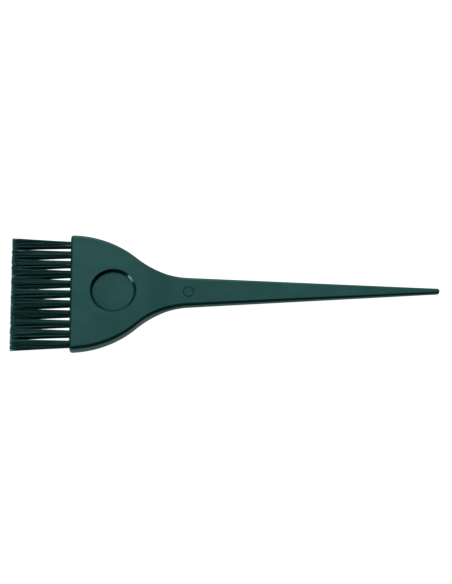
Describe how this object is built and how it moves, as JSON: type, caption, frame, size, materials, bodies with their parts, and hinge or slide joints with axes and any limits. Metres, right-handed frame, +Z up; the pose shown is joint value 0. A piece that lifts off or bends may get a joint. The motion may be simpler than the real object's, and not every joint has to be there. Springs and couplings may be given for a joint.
{
  "type": "hair tint brush",
  "caption": "Flat hair tint brush: a moulded paddle head with a row of nylon tufts, a thumb recess and a long tapered tail for parting hair.",
  "frame": {"origin": "on the surface that the brush lies on, under the middle of its overall length and width", "axes": "+X from the bristle tips towards the end of the tail, +Y across the head, +Z up through the thickness"},
  "size_m": [0.215, 0.0616, 0.0075],
  "materials": {
    "body_plastic": "dark green moulded plastic, satin with a soft gloss on the rounded edges",
    "bristle_nylon": "near-black green nylon filament, soft sheen along each bristle",
    "anchor_brass": "plain drawn flat wire, slightly dull"
  },
  "bodies": {
    "root": {"brush_body": "body_plastic", "bristle_tuft_01": "bristle_nylon", "bristle_tuft_02": "bristle_nylon", "bristle_tuft_03": "bristle_nylon", "bristle_tuft_04": "bristle_nylon", "bristle_tuft_05": "bristle_nylon", "bristle_tuft_06": "bristle_nylon", "bristle_tuft_07": "bristle_nylon", "bristle_tuft_08": "bristle_nylon", "bristle_tuft_09": "bristle_nylon", "bristle_tuft_10": "bristle_nylon", "bristle_tuft_11": "bristle_nylon", "anchor_wire_01": "anchor_brass", "anchor_wire_02": "anchor_brass", "anchor_wire_03": "anchor_brass", "anchor_wire_04": "anchor_brass", "anchor_wire_05": "anchor_brass", "anchor_wire_06": "anchor_brass", "anchor_wire_07": "anchor_brass", "anchor_wire_08": "anchor_brass", "anchor_wire_09": "anchor_brass", "anchor_wire_10": "anchor_brass", "anchor_wire_11": "anchor_brass"}
  },
  "joints": []
}
